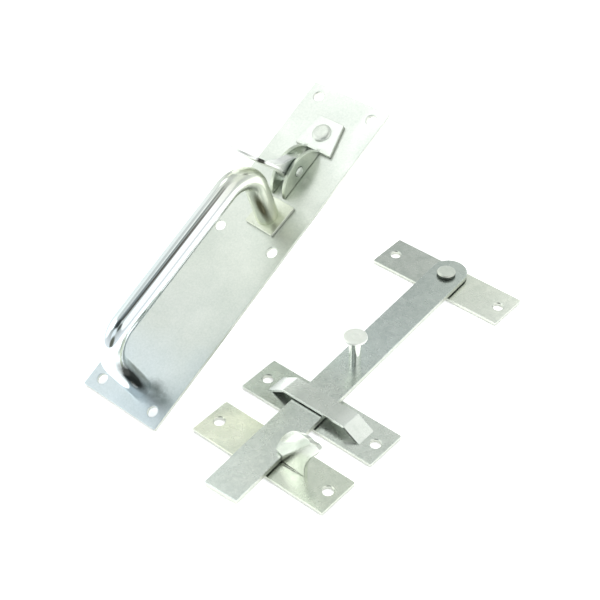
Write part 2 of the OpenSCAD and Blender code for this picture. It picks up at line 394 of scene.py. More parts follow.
def zinc(name, light, dark, rough, spread=0.06, mottle=90.0, grain=1500.0, grain_bump=0.05,
         wave=0.0, wave_scale=30.0, streak=None, streak_amount=0.0, tint=None, tint_axis=None, painted_spots=(), haze=None):
    """Zinc-plated steel: colour mottling, uneven haze, fine grain and a slight waviness of the sheet."""
    mat = bpy.data.materials.new(name)
    mat.use_nodes = True
    nt = mat.node_tree
    nt.nodes.clear()
    out = nt.nodes.new("ShaderNodeOutputMaterial")
    bs = nt.nodes.new("ShaderNodeBsdfPrincipled")
    bs.inputs["Metallic"].default_value = 1.0
    nt.links.new(bs.outputs[0], out.inputs[0])
    tc = nt.nodes.new("ShaderNodeTexCoord")

    def tex(scale, detail, rough_, stretch=None, dist=0.0):
        mp = nt.nodes.new("ShaderNodeMapping")
        nt.links.new(tc.outputs["Object"], mp.inputs[0])
        if stretch:
            mp.inputs["Rotation"].default_value = stretch[0]
            mp.inputs["Scale"].default_value = stretch[1]
        no = nt.nodes.new("ShaderNodeTexNoise")
        no.inputs["Scale"].default_value = scale
        no.inputs["Detail"].default_value = detail
        no.inputs["Roughness"].default_value = rough_
        no.inputs["Distortion"].default_value = dist
        nt.links.new(mp.outputs[0], no.inputs["Vector"])
        return no

    def ramp(src, lo, hi, a=0.3, b=0.7):
        mr = nt.nodes.new("ShaderNodeMapRange")
        mr.inputs["From Min"].default_value = a
        mr.inputs["From Max"].default_value = b
        mr.inputs["To Min"].default_value = lo
        mr.inputs["To Max"].default_value = hi
        nt.links.new(src, mr.inputs["Value"])
        return mr.outputs[0]

    blotch = tex(mottle, 4.0, 0.6, dist=0.4)
    fine = tex(grain, 5.0, 0.75)
    cr = nt.nodes.new("ShaderNodeValToRGB")
    cr.color_ramp.elements[0].position = 0.32
    cr.color_ramp.elements[0].color = dark
    cr.color_ramp.elements[1].position = 0.68
    cr.color_ramp.elements[1].color = light
    mixv = nt.nodes.new("ShaderNodeMath")
    mixv.operation = "MULTIPLY_ADD"
    mixv.inputs[1].default_value = 0.62
    nt.links.new(fine.outputs[0], mixv.inputs[0])
    half = nt.nodes.new("ShaderNodeMath")
    half.operation = "MULTIPLY"
    half.inputs[1].default_value = 0.38
    nt.links.new(blotch.outputs[0], half.inputs[0])
    nt.links.new(half.outputs[0], mixv.inputs[2])
    nt.links.new(mixv.outputs[0], cr.inputs[0])
    colour = cr.outputs[0]
    if tint is not None:
        # the colour changes slowly along one axis of the piece, with a wobble
        sep = nt.nodes.new("ShaderNodeSeparateXYZ")
        mp = nt.nodes.new("ShaderNodeMapping")
        nt.links.new(tc.outputs["Object"], mp.inputs[0])
        nt.links.new(mp.outputs[0], sep.inputs[0])
        axis, a, b, stops = tint_axis
        t = ramp(sep.outputs[axis], 0.0, 1.0, a, b)
        wob = tex(22.0, 2.0, 0.5)
        add = nt.nodes.new("ShaderNodeMath")
        add.operation = "MULTIPLY_ADD"
        add.inputs[1].default_value = 0.30
        nt.links.new(wob.outputs[0], add.inputs[0])
        nt.links.new(t, add.inputs[2])
        sh = nt.nodes.new("ShaderNodeMath")
        sh.operation = "SUBTRACT"
        sh.inputs[1].default_value = 0.15
        nt.links.new(add.outputs[0], sh.inputs[0])
        tr = nt.nodes.new("ShaderNodeValToRGB")
        el = tr.color_ramp.elements
        el[0].position, el[0].color = stops[0]
        el[1].position, el[1].color = stops[-1]
        for pos, col in stops[1:-1]:
            e = el.new(pos)
            e.color = col
        nt.links.new(sh.outputs[0], tr.inputs[0])
        mx = nt.nodes.new("ShaderNodeMix")
        mx.data_type = "RGBA"
        mx.blend_type = "MULTIPLY"
        mx.inputs["Factor"].default_value = 1.0
        nt.links.new(colour, mx.inputs[6])
        nt.links.new(tr.outputs[0], mx.inputs[7])
        colour = mx.outputs[2]
    # painted shade and painted reflections: soft ellipsoids with a broken edge that darken the colour
    for place, turn, radii, shade, edge, rag in painted_spots:
        mp = nt.nodes.new("ShaderNodeMapping")
        mp.vector_type = "TEXTURE"
        mp.inputs["Location"].default_value = [c * MM for c in place]
        mp.inputs["Rotation"].default_value = turn
        mp.inputs["Scale"].default_value = [c * MM for c in radii]
        nt.links.new(tc.outputs["Object"], mp.inputs[0])
        ln = nt.nodes.new("ShaderNodeVectorMath")
        ln.operation = "LENGTH"
        nt.links.new(mp.outputs[0], ln.inputs[0])
        rg = tex(420.0, 4.0, 0.7)
        ja = nt.nodes.new("ShaderNodeMath")
        ja.operation = "MULTIPLY_ADD"
        ja.inputs[1].default_value = rag
        nt.links.new(rg.outputs[0], ja.inputs[0])
        nt.links.new(ln.outputs["Value"], ja.inputs[2])
        k = ramp(ja.outputs[0], 1.0, 0.0, edge + rag / 2, 1.0 + rag / 2)
        mx = nt.nodes.new("ShaderNodeMix")
        mx.data_type = "RGBA"
        mx.blend_type = "MULTIPLY"
        nt.links.new(k, mx.inputs["Factor"])
        nt.links.new(colour, mx.inputs[6])
        mx.inputs[7].default_value = shade
        colour = mx.outputs[2]
    nt.links.new(colour, bs.inputs["Base Color"])
    # roughness: cloudy haze
    cloud = tex(mottle * 0.5, 3.0, 0.55, dist=0.8)
    rv = ramp(cloud.outputs[0], rough - spread, rough + spread)
    if streak is not None:
        st = tex(streak[2], 6.0, 0.7, stretch=(streak[0], streak[1]))
        sv = ramp(st.outputs[0], -streak_amount, streak_amount, 0.35, 0.65)
        ad = nt.nodes.new("ShaderNodeMath")
        ad.operation = "ADD"
        nt.links.new(rv, ad.inputs[0])
        nt.links.new(sv, ad.inputs[1])
        rv = ad.outputs[0]
    if haze is not None:
        # the plating turns duller along the piece
        axis, a, b, amount = haze
        sx = nt.nodes.new("ShaderNodeSeparateXYZ")
        nt.links.new(tc.outputs["Object"], sx.inputs[0])
        hz = ramp(sx.outputs[axis], 0.0, amount, a, b)
        ad = nt.nodes.new("ShaderNodeMath")
        ad.operation = "ADD"
        nt.links.new(rv, ad.inputs[0])
        nt.links.new(hz, ad.inputs[1])
        rv = ad.outputs[0]
    nt.links.new(rv, bs.inputs["Roughness"])
    bump = nt.nodes.new("ShaderNodeBump")
    bump.inputs["Strength"].default_value = 1.0
    bump.inputs["Distance"].default_value = grain_bump * 1e-5
    nt.links.new(fine.outputs[0], bump.inputs["Height"])
    last = bump
    if wave > 0:
        wv = tex(wave_scale, 2.0, 0.5, dist=0.3)
        b2 = nt.nodes.new("ShaderNodeBump")
        b2.inputs["Strength"].default_value = 1.0
        b2.inputs["Distance"].default_value = wave * 1e-3
        nt.links.new(wv.outputs[0], b2.inputs["Height"])
        nt.links.new(bump.outputs[0], b2.inputs["Normal"])
        last = b2
    nt.links.new(last.outputs[0], bs.inputs["Normal"])
    return mat


TILT = (math.radians(26.5), 0.0, 0.0)


def spot(u, v, n, ru, rv, rn, shade, edge=0.3, rag=0.5, turn=0.0):
    """Painted dark spot, given in the back plate's own directions."""
    return (on_plate(u, v, n), (TILT[0], 0.0, turn) if not turn else Matrix.Rotation(TILT[0], 3, "X") @ Matrix.Rotation(turn, 3, "Z"),
            (ru, rv, rn), shade, edge, rag)


def euler(painted_spot):
    place, turn, radii, shade, edge, rag = painted_spot
    if isinstance(turn, Matrix):
        turn = tuple(turn.to_euler())
    return place, turn, radii, shade, edge, rag


Z_PLATE = zinc("zinc_back_plate", srgb(238, 241, 237), srgb(213, 220, 215), 0.36, spread=0.06, mottle=55, grain=900,
               grain_bump=0.45, wave=0.08, wave_scale=16, tint=True,
               tint_axis=(1, -0.180, 0.0, ((0.0, (0.83, 0.89, 0.99, 1)), (0.08, (0.86, 0.90, 0.97, 1)), (0.22, (0.87, 0.875, 0.87, 1)),
                                           (0.45, (0.90, 0.905, 0.875, 1)), (0.70, (0.93, 0.935, 0.905, 1)), (0.84, (1, 1, 0.99, 1)))),
               # painted reflections: dark patches beside the lower leg's foot, and a softer one beside the lever
               # bracket's right ear
               painted_spots=[euler(spot(10.5, 17.0, 2.0, 8.0, 5.5, 3.0, (0.42, 0.44, 0.43, 1), 0.1, 0.9)),
                        euler(spot(18.5, 14.5, 2.0, 7.0, 4.0, 3.0, (0.62, 0.65, 0.64, 1), 0.1, 0.9)),
                        euler(spot(9.0, 146.0, 2.0, 4.0, 6.0, 3.0, (0.74, 0.76, 0.72, 1), 0.0, 0.6))])
Z_ROD = zinc("zinc_handle_rod", srgb(246, 248, 248), srgb(234, 238, 240), 0.075, spread=0.02, mottle=60, grain=1400,
             grain_bump=0.12, tint=True,
             tint_axis=(1, -0.190, -0.066, ((0.0, (0.93, 0.98, 1.0, 1)), (0.3, (0.96, 0.99, 1.0, 1)), (0.62, (1, 1, 0.99, 1)),
                                            (0.78, (0.80, 0.81, 0.72, 1)), (1.0, (0.84, 0.86, 0.70, 1)))),
             # painted reflections: a dark streak and a brown band down the lower leg, a dark brown band on the upper
             # leg
             painted_spots=[euler(spot(9.0, 13.2, 21.0, 3.2, 3.6, 20.0, (0.05, 0.05, 0.045, 1), 0.5, 0.2)),
                      euler(spot(7.4, 18.0, 16.0, 3.4, 3.2, 18.0, (0.45, 0.43, 0.39, 1), 0.4, 0.2)),
                      euler(spot(7.6, 118.4, 19.0, 3.0, 2.8, 16.0, (0.22, 0.20, 0.15, 1), 0.4, 0.3))],
             haze=(1, -0.112, -0.092, 0.17))
Z_WASHER = zinc("zinc_washer", srgb(236, 240, 226), srgb(210, 216, 200), 0.32, spread=0.05, mottle=120, grain=1300,
                grain_bump=0.5, wave=0.05, wave_scale=60)
Z_BRACKET = zinc("zinc_bracket", srgb(240, 243, 239), srgb(219, 225, 219), 0.36, spread=0.05, mottle=120, grain=1300,
                 grain_bump=0.5, wave=0.06, wave_scale=70, tint=True,
                 tint_axis=(1, -0.060, -0.028, ((0.0, (0.80, 0.84, 0.74, 1)), (0.66, (0.86, 0.89, 0.80, 1)), (0.85, (1, 1, 1, 1)),
                                                (1.0, (1, 1, 1, 1)))),
                 # painted shade between the ears
                 painted_spots=[euler(spot(0.0, 148.0, 6.0, 7.0, 14.0, 14.0, (0.40, 0.46, 0.45, 1), 0.5, 0.3))])
Z_LEVER = zinc("zinc_lever", srgb(252, 253, 250), srgb(240, 243, 239), 0.38, spread=0.05, mottle=100, grain=1300,
               grain_bump=0.4, wave=0.05, wave_scale=60,
               # painted shadow: a dark spot at the pad's outer right edge, and the right ear's shade on the web and the
               # ear's inner face
               painted_spots=[(on_lever(11.5, -3.6, 44.0), (0, 0, 0), (3.6, 3.4, 4.2), (0.05, 0.05, 0.045, 1), 0.5, 0.3),
                        (on_lever(4.2, 1.0, 7.0), (0, 0, 0), (3.2, 9.0, 8.0), (0.22, 0.27, 0.27, 1), 0.3, 0.4),
                        # painted shade: the tail behind the plate is darker than the thumb pad
                        (on_lever(0.0, 1.0, -25.0), (0, 0, 0), (12.0, 18.0, 24.0), (0.52, 0.55, 0.53, 1), 0.6, 0.2)])
Z_STRIP = zinc("zinc_keeper_plate", srgb(240, 243, 239), srgb(205, 213, 206), 0.28, spread=0.05, mottle=260, grain=1500,
               grain_bump=0.8, wave=0.05, wave_scale=26, tint=True,
               tint_axis=(0, -0.029, 0.052, ((0.0, (0.70, 0.71, 0.69, 1)), (0.30, (0.70, 0.71, 0.69, 1)), (0.45, (0.96, 0.96, 0.96, 1)),
                                             (1.0, (0.98, 0.98, 0.97, 1)))))
Z_PIVOT = zinc("zinc_pivot_plate", srgb(246, 248, 244), srgb(212, 219, 213), 0.24, spread=0.05, mottle=260, grain=1500,
               grain_bump=0.8, wave=0.05, wave_scale=26, tint=True,
               tint_axis=(0, -0.041, 0.041, ((0.0, (0.80, 0.81, 0.80, 1)), (0.45, (0.80, 0.81, 0.80, 1)), (0.60, (1, 1, 0.95, 1)),
                                             (1.0, (0.98, 0.98, 0.96, 1)))))
Z_CATCH = zinc("zinc_catch_plate", srgb(246, 248, 240), srgb(218, 224, 213), 0.25, spread=0.05, mottle=260, grain=1500,
               grain_bump=0.8, wave=0.05, wave_scale=26, tint=True,
               tint_axis=(0, -0.028, 0.053, ((0.0, (0.90, 0.90, 0.86, 1)), (0.16, (1, 1, 0.93, 1)), (0.3, (1, 1, 0.94, 1)),
                                             (0.5, (0.90, 0.92, 0.89, 1)), (1.0, (0.92, 0.94, 0.90, 1)))))
Z_BAR = zinc("zinc_bar", srgb(242, 246, 242), srgb(207, 215, 211), 0.26, spread=0.05, mottle=260, grain=1500,
             grain_bump=0.9, wave=0.05, wave_scale=26, tint=True,
             tint_axis=(1, -0.191, 0.013, ((0.0, (0.97, 0.99, 1, 1)), (0.15, (0.98, 0.98, 0.97, 1)), (0.42, (0.80, 0.80, 0.79, 1)),
                                           (0.6, (0.82, 0.84, 0.86, 1)), (0.8, (0.77, 0.79, 0.80, 1)), (1.0, (0.76, 0.78, 0.77, 1)))))
Z_BRIDGE = zinc("zinc_bridge", srgb(246, 248, 245), srgb(222, 227, 222), 0.28, spread=0.05, mottle=140, grain=1500,
                grain_bump=0.6, tint=True,
                tint_axis=(0, -0.0173, 0.0407, ((0.0, (1, 1, 1, 1)), (0.20, (1, 1, 1, 1)), (0.30, (0.80, 0.81, 0.80, 1)),
                                                (0.70, (0.80, 0.81, 0.80, 1)), (0.82, (1, 1, 1, 1)), (1.0, (1, 1, 1, 1)))))
# the tint ramp paints shade: the hook's right side grey, its left and top white
Z_HOOK = zinc("zinc_hook", srgb(250, 251, 247), srgb(238, 242, 235), 0.22, spread=0.05, mottle=110, grain=1300,
              grain_bump=0.5, wave=0.04, wave_scale=60, tint=True,
              tint_axis=(0, 0.018, 0.043, ((0.0, (1, 1, 0.99, 1)), (0.42, (1, 1, 0.99, 1)), (0.55, (0.76, 0.78, 0.75, 1)),
                                           (1.0, (0.74, 0.76, 0.74, 1)))))
Z_RIVET = zinc("zinc_rivets", srgb(240, 243, 237), srgb(206, 213, 204), 0.42, spread=0.06, mottle=300, grain=1800,
               grain_bump=0.9)
Z_KNOB = zinc("zinc_knob_head", srgb(253, 254, 250), srgb(242, 246, 239), 0.48, spread=0.06, mottle=260, grain=1800,
              grain_bump=0.5)
Z_STEM = zinc("zinc_knob_stem", srgb(240, 243, 236), srgb(222, 227, 218), 0.13, spread=0.03, mottle=200, grain=1500,
              grain_bump=0.3)
# cut sides: a rougher zinc, darker partly as a duller cut edge and partly as painted shade
Z_CUT_EDGE_AND_SHADE = zinc("zinc_cut_edge_and_painted_shade", srgb(226, 228, 219), srgb(198, 203, 194), 0.42, spread=0.06, mottle=300, grain=1800,
              grain_bump=1.0)
# painted contact shadow along each sheet's lower arris and under the pivot rivet's head
Z_ARRIS_PAINTED_SHADOW = zinc("zinc_lower_arris_painted_shadow", srgb(118, 123, 117), srgb(88, 93, 88), 0.45, spread=0.06, mottle=300, grain=1800,
               grain_bump=1.0)

# ---------------------------------------------------------------- handle set


def build_back_plate():
    w, l, t = 50.0, PLATE_L, PLATE_T
    outer = rounded([(-w / 2, 0), (w / 2, 0), (w / 2, l), (-w / 2, l)], 0.7)
    loops = [outer]
    profs = [rim(t, 0.3)]
    for v in (7.0, MID_V, l - 7.0):
        for s in (-1, 1):
            loops.append(ring(s * HOLE_U, v, HOLE_R))
            profs.append(bevelled(t, 0.32))
    for v in (13.5, 121.0):
        loops.append(ring(3.4, v, 4.05, 40))
        profs.append(rim(t, 0.05, 1))
    loops.append(ring(-0.5, 174.0, 2.55, 32))
    profs.append(rim(t, 0.05, 1))
    loops.append(rounded([(-3.3, PIN_V - 6.4), (3.3, PIN_V - 6.4), (3.3, PIN_V + 11.2), (-3.3, PIN_V + 11.2)], 1.2))
    profs.append(rim(t, 0.2))
    ob = sheet("back_plate_sheet", loops, profs, on_plate, edges=True)
    place_piece(ob, "back_plate", "fixed_plates", Z_PLATE)


def build_handle():
    r, u, out, bend = 6.0, 3.4, 45.0, 16.0
    low, high, lean = 13.5, 121.0, math.radians(8.3)
    top = PLATE_T + 2.0
    # centre of the upper bend, so that the leaning leg ends on its own foot
    bc = high + ((out - bend - top) * math.sin(lean) - bend) / math.cos(lean)
    stations = []

    def add(v, n, ev, en, rr=r, wide=1.0):
        stations.append((v, n, ev, en, rr * wide, rr))

    add(low, PLATE_T + 0.001, -1, 0, r - 0.35)
    add(low, PLATE_T + 0.12, -1, 0, r - 0.14)
    for k in range(7):
        add(low, PLATE_T + 0.35 + (out - bend - PLATE_T - 0.35) * k / 6, -1, 0)
    for k in range(1, 29):
        a = math.pi / 2 * k / 28
        add(low + bend - bend * math.cos(a), out - bend + bend * math.sin(a), -math.cos(a), math.sin(a))
    for k in range(1, 20):
        add(low + bend + (bc - low - bend) * k / 20, out, 0, 1)
    for k in range(31):
        a = (math.pi / 2 + lean) * k / 30
        add(bc + bend * math.sin(a), out - bend + bend * math.cos(a), math.sin(a), math.cos(a))
    v1, n1 = stations[-1][:2]
    for k in range(1, 6):
        add(v1 + (high - v1) * k / 6, n1 + (top - n1) * k / 6, math.cos(lean), -math.sin(lean))
    # the foot is cut flat where it stands on the washer
    for h, rr in ((0.35, r), (0.12, r - 0.14), (0.001, r - 0.35)):
        add(high + math.tan(lean) * h, top + h, 1, 0, rr, 1 / math.cos(lean))
    verts, faces, n = [], [], 72
    for v, h, ev, en, ra, rb in stations:
        for k in range(n):
            g = 2 * math.pi * k / n
            c = ra * math.cos(g)
            verts.append(on_plate(u + rb * math.sin(g), v + ev * c, h + en * c))
    for i in range(len(stations) - 1):
        for k in range(n):
            j = (k + 1) % n
            faces.append((i * n + k, i * n + j, (i + 1) * n + j, (i + 1) * n + k))
    faces.append(tuple(range(n))[::-1])
    faces.append(tuple((len(stations) - 1) * n + k for k in range(n)))
    rod = mesh_object("rod", verts, faces)
    ends = []
    for v, base in ((low, PLATE_T + 0.2), (high, top + 0.2)):
        prof = [(0, base), (4.0, base), (4.0, 0.15), (4.15, -0.05)] + [(4.15 * math.cos(a), -0.05 - 0.55 * math.sin(a)) for a in
                (0.25, 0.5, 0.8, 1.1, 1.35)] + [(0, -0.6)]
        ends.append(lathe("peen", prof, lambda x, y, z, v=v: on_plate(u + x, v + y, z), n=40))
    ob = join("pull_handle_rod", rod, *ends)
    place_piece(ob, "pull_handle", "fixed_plates", Z_ROD)


def build_washer():
    a = math.radians(-3)
    s = 18.6 / 2
    cu, cv = 3.4 + 0.4, 121.0 + 1.3

    def at(x, y, z):
        return on_plate(cu + x * math.cos(a) - y * math.sin(a), cv + x * math.sin(a) + y * math.cos(a), PLATE_T + z)

    outer = rounded([(-s, -s), (s, -s), (s, s), (-s, s)], 0.5)
    b = -a
    hx, hy = -0.4 * math.cos(b) - -1.3 * math.sin(b), -0.4 * math.sin(b) + -1.3 * math.cos(b)
    hole = ring(hx, hy, 4.05, 40)
    ob = sheet("handle_washer_plate", [outer, hole], [rim(2.0, 0.32), rim(2.0, 0.05, 1)], at, edges=True)
    place_piece(ob, "handle_washer", "fixed_plates", Z_WASHER)


def ear_loop():
    """Outline of an ear in (v, n): a round flap whose upper end flares into the foot."""
    cv, cn, r = PIN_V + 0.5, -2.0, 16.1
    a0 = math.pi - math.asin((2.4 - cn) / r)
    a1 = math.asin((5.6 - cn) / r)
    pts = []
    steps = 44
    for k in range(steps + 1):
        a = a0 + (a1 - a0) * k / steps
        pts.append((cv + r * math.cos(a), cn + r * math.sin(a)))
    v1, n1 = pts[-1]
    # flare to the top of the foot
    for k in range(1, 8):
        t = k / 7.0
        pts.append((v1 + (PIN_V + 19.0 - v1) * (t * 0.35 + 0.65 * t * t), n1 + (4.0 - n1) * (1 - (1 - t) ** 2.4)))
    pts += [(PIN_V + 19.0, 2.05), (PIN_V + 15.6, 2.05), (PIN_V + 15.3, 2.4)]
    return pts[::-1]


def build_bracket():
    foot = rounded([(-8, 183), (7.6, 183), (12.3, PIN_V + 15.5), (-11.2, PIN_V + 15.5)], 0.6)
    hole = ring(-0.5, 174, 2.55, 32)
    f = sheet("foot", [foot, hole], [rim(2.0, 0.28), rim(2.0, 0.05, 1)], lambda x, y, z: on_plate(x, y, PLATE_T + z),
              edges=True)
    ears = []
    for u0, outward in ((-5.0, -1), (3.0, 1)):
        hole = ring(PIN_V, PIN_N, 2.55, 44)
        prof = [(0.62, 2.0), (0.5, 1.97), (0.30, 1.72), (0.10, 1.42), (0, 1.2), (0, 0.1), (0.1, 0)]
        if outward > 0:
            at = lambda x, y, z, u0=u0: on_plate(u0 + z, x, y)
        else:
            at = lambda x, y, z, u0=u0: on_plate(u0 + 2.0 - z, x, y)
        ears.append(sheet("ear", [ear_loop(), hole], [rim(2.0, 0.35), prof], at))
    # one piece from the foot and both ears
    ob = join("lever_bracket_plate", f, *ears)
    place_piece(ob, "lever_bracket", "fixed_plates", Z_BRACKET)


def build_bracket_rivet():
    base = PLATE_T + 2.0
    prof = [(0, base + 1.30), (2.2, base + 1.28), (3.6, base + 1.20), (4.4, base + 1.02), (4.9, base + 0.68),
            (5.2, base + 0.22), (5.15, base + 0.03), (2.5, base + 0.02), (2.5, 0.1), (2.3, 0.0), (0, -0.02)]
    ob = lathe("bracket_rivet_head", prof, lambda x, y, z: on_plate(-0.5 + x, 174 + y, z))
    place_piece(ob, "bracket_rivet", "fixed_plates", Z_RIVET)


def build_pin():
    def at(x, y, z):
        return PIN + U * z + V * x + N * y

    def wob(r, z, a):
        if abs(z) > 5.05:
            k = 0.10 * math.sin(3 * a + 1.1) + 0.06 * math.sin(7 * a)
            return r * (1 + 0.03 * math.sin(2 * a + 0.7)), z + (k if z > 0 else -k) * (1 - r / 3.3)
        return r, z

    prof = [(0, 5.55), (1.0, 5.52), (1.9, 5.38), (2.5, 5.1), (2.5, 4.4), (2.5, 0), (2.5, -4.4), (2.5, -5.1), (1.9, -5.38),
            (1.0, -5.52), (0, -5.55)]
    ob = lathe("lever_pin_peened", prof, at, n=48, wobble=wob)
    place_piece(ob, "lever_pin", "fixed_plates", Z_RIVET)


PAD_REACH, PAD_W, PAD_M = 52.0, 25.0, -4.7


def pad_half(z):
    mid, half = (PAD_REACH + 16) / 2, (PAD_REACH - 16) / 2
    return PAD_W / 2 * math.sqrt(max(0.0, 1 - (abs(z - mid) / half) ** 2.6))


def build_lever():
    n = 34
    zs = [16 + (PAD_REACH - 16) * (1 - math.cos(math.pi * i / n)) / 2 for i in range(n + 1)]
    right = [(2.75, 8.0)] + [(max(pad_half(z), 2.75 if z < 30 else 0), z) for z in zs]
    left = [(-x, z) for x, z in right if x > 1e-6][::-1]
    loop = ccw(rounded(right + left, 0.0))

    def pad_at(x, z, h):
        # dished: the rim stands higher than the middle, and the outer end curls up a little
        s = max(0.0, min(1.0, (z - 14) / 14))
        s = s * s * (3 - 2 * s)
        k = (x / 12.5) ** 2
        y = PAD_M + 0.05 + s * (1.35 * k - 0.25)
        e = max(0.0, (z - 40) / 12)
        y += 0.55 * e * e * (1 - 0.4 * k)
        return on_lever(x, y + h, z)

    t = 1.7
    pad = sheet("pad", [loop], [rim(t, 0.6, 4)], pad_at, grid=1.5)
    web = sheet("web", [rounded([(PAD_M + 0.2, 10), (PAD_M + 2.0, 23), (0.6, 13), (4.6, 7.5), (7, 1), (6.8, -3.5), (-4.8, -3.5),
                                 (-6.2, 0), (-6, 5)], [0.5, 1.0, 6, 3, 2, 0.5, 0.5, 2, 2]), ring(0, 0, 2.55, 40)],
                [rim(5.5, 0.5), rim(5.5, 0.1, 1)], lambda y, z, x: on_lever(x - 2.75, y, z))
    tail = sheet("tail", [rounded([(6.8, -2.8), (6.6, -10), (4.5, -34), (2.5, -38), (-1.5, -38), (-3, -35), (-4.6, -10),
                                   (-4.8, -2.8)], [0.2, 8, 2.5, 2, 2, 2, 8, 0.2])],
                 [rim(4.0, 0.5)], lambda y, z, x: on_lever(x - 2.0, y, z))
    ob = join("thumb_lever_forging", pad, web, tail)
    place_piece(ob, "thumb_lever", "lever", Z_LEVER)


# ---------------------------------------------------------------- latch set


def strip_loops(hole_x, w, d, t, corner=0.8, bevel=0.42):
    outer = rounded([(-w / 2, -d / 2), (w / 2, -d / 2), (w / 2, d / 2), (-w / 2, d / 2)], corner)
    loops, profs = [outer], [rim(t, 0.28)]
    for s in (-1, 1):
        loops.append(ring(s * hole_x, 0, HOLE_R))
        profs.append(bevelled(t, bevel))
    return loops, profs


def build_strip(node, name, mount, extra, mat):
    c, size = middle(node)
    w, d, t = size
    hx = MOUNT[mount]["dims"]["spacing_x_mm"] / 2
    loops, profs = strip_loops(hx, w, d, t)
    for lp, pr in extra(c):
        loops.append(lp)
        profs.append(pr)
    z0 = c.z - t / 2
    ob = sheet(name, loops, profs, lambda x, y, z: Vector((c.x + x, c.y + y, z0 + z)), edges=True)
    place_piece(ob, node, "fixed_plates", mat)


def build_strips():
    build_strip("pivot_plate", "pivot_plate_sheet", "pivot_screws",
                lambda c: [(ring(-c.x, -c.y, 3.25, 36), rim(2.0, 0.05, 1))], Z_PIVOT)
    kc, ks = middle("keeper_bridge")
    half = ks.x / 2 - 2.2

    def tenons(c):
        return [(rounded([(kc.x - c.x + s * half - 1.05, -3.05), (kc.x - c.x + s * half + 1.05, -3.05),
                          (kc.x - c.x + s * half + 1.05, 3.05), (kc.x - c.x + s * half - 1.05, 3.05)], 0.2), rim(2.0, 0.04, 1))
                for s in (-1, 1)]

    build_strip("keeper_plate", "keeper_plate_sheet", "keeper_screws", tenons, Z_STRIP)

    def slot_for_hook(c):
        x0, y0 = 19.7 + 3.45 - c.x, -156.6 - c.y - 0.05
        return [(rounded([(x0, y0), (x0 + 7.6, y0), (x0 + 7.6, y0 + 2.5), (x0, y0 + 2.5)], 0.2), rim(2.0, 0.04, 1))]

    build_strip("catch_plate", "catch_plate_sheet", "catch_screws", slot_for_hook, Z_CATCH)


def build_pivot_washer():
    prof = [(3.25, BAR_Z), (6.85, BAR_Z), (7.0, BAR_Z - 0.12), (7.0, 2.12), (6.85, 2.0), (3.25, 2.0), (3.25, BAR_Z)]
    ob = lathe("pivot_washer_disc", prof, lambda x, y, z: Vector((x, y, z)))
    place_piece(ob, "pivot_washer", "fixed_plates", Z_PIVOT)


def build_bar():
    w, l, e = 19.0, 190.5, 3.5
    pts = [(-w / 2 + 0.5, -l), (w / 2 - 0.5, -l), (w / 2, -l + 0.5)]
    for k in range(0, 41):
        a = math.pi * k / 40
        pts.append((w / 2 * math.cos(a), e + (w / 2 - 0.03) * math.sin(a)))
    pts += [(-w / 2, -l + 0.5)]
    t = BAR_TOP - BAR_Z
    loops = [pts, ring(0, 0, 3.25, 36), ring(0, -85.0, 2.55, 32)]
    profs = [rim(t, 0.32), rim(t, 0.05, 1), rim(t, 0.05, 1)]
    ob = sheet("latch_bar_flat", loops, profs, lambda x, y, z: on_bar(x, y, BAR_Z + z), edges=True)
    place_piece(ob, "latch_bar", "bar", Z_BAR)


def build_pivot_rivet():
    b = BAR_TOP
    prof = [(0, b + 2.42), (1.6, b + 2.44), (3.7, b + 2.46), (4.35, b + 2.36), (4.8, b + 2.1), (5.0, b + 1.7), (5.0, b + 0.6),
            (4.85, b + 0.22), (3.2, b + 0.2), (3.2, 0.15), (3.0, 0.0), (0, 0.0)]
    # the head's lower side takes the painted contact shadow, the side above it the darker cut-edge zinc
    ob = lathe("pivot_rivet_head", prof, lambda x, y, z: Vector((x, y, z)),
               kind=lambda r0, z0, r1, z1: 2 if z1 < b + 0.7 else (1 if z1 < b + 2.2 else 0))
    place_piece(ob, "pivot_rivet", "fixed_plates", Z_RIVET)


def build_knob():
    b, h = BAR_TOP, 17.5
    top = b + h
    prof = [(0, top - 0.05), (1.9, top - 0.05), (2.15, top - 0.14), (2.4, top - 0.03), (5.3, top - 0.02), (5.75, top - 0.1),
            (6.02, top - 0.32), (6.1, top - 0.6), (6.1, top - 0.95), (5.95, top - 1.25), (5.6, top - 1.38)]
    prof += [(3.1 + 0.9 * (1 - math.sin(a)), top - 1.40 - 0.9 * (1 - math.cos(a))) for a in (0.1, 0.5, 0.9, 1.25, math.pi / 2)]
    prof += [(3.1, b + 6), (3.1, b + 0.05), (2.5, b + 0.02), (2.5, BAR_Z + 0.1), (2.35, BAR_Z), (0, BAR_Z)]
    ob = lathe("lift_knob_turned", prof, lambda x, y, z: on_bar(x, y - 85.0, z),
               kind=lambda r0, z0, r1, z1: 1 if z1 < top - 1.39 else 0)
    place_piece(ob, "lift_knob", "bar", Z_KNOB, side=(Z_STEM, Z_ARRIS_PAINTED_SHADOW))


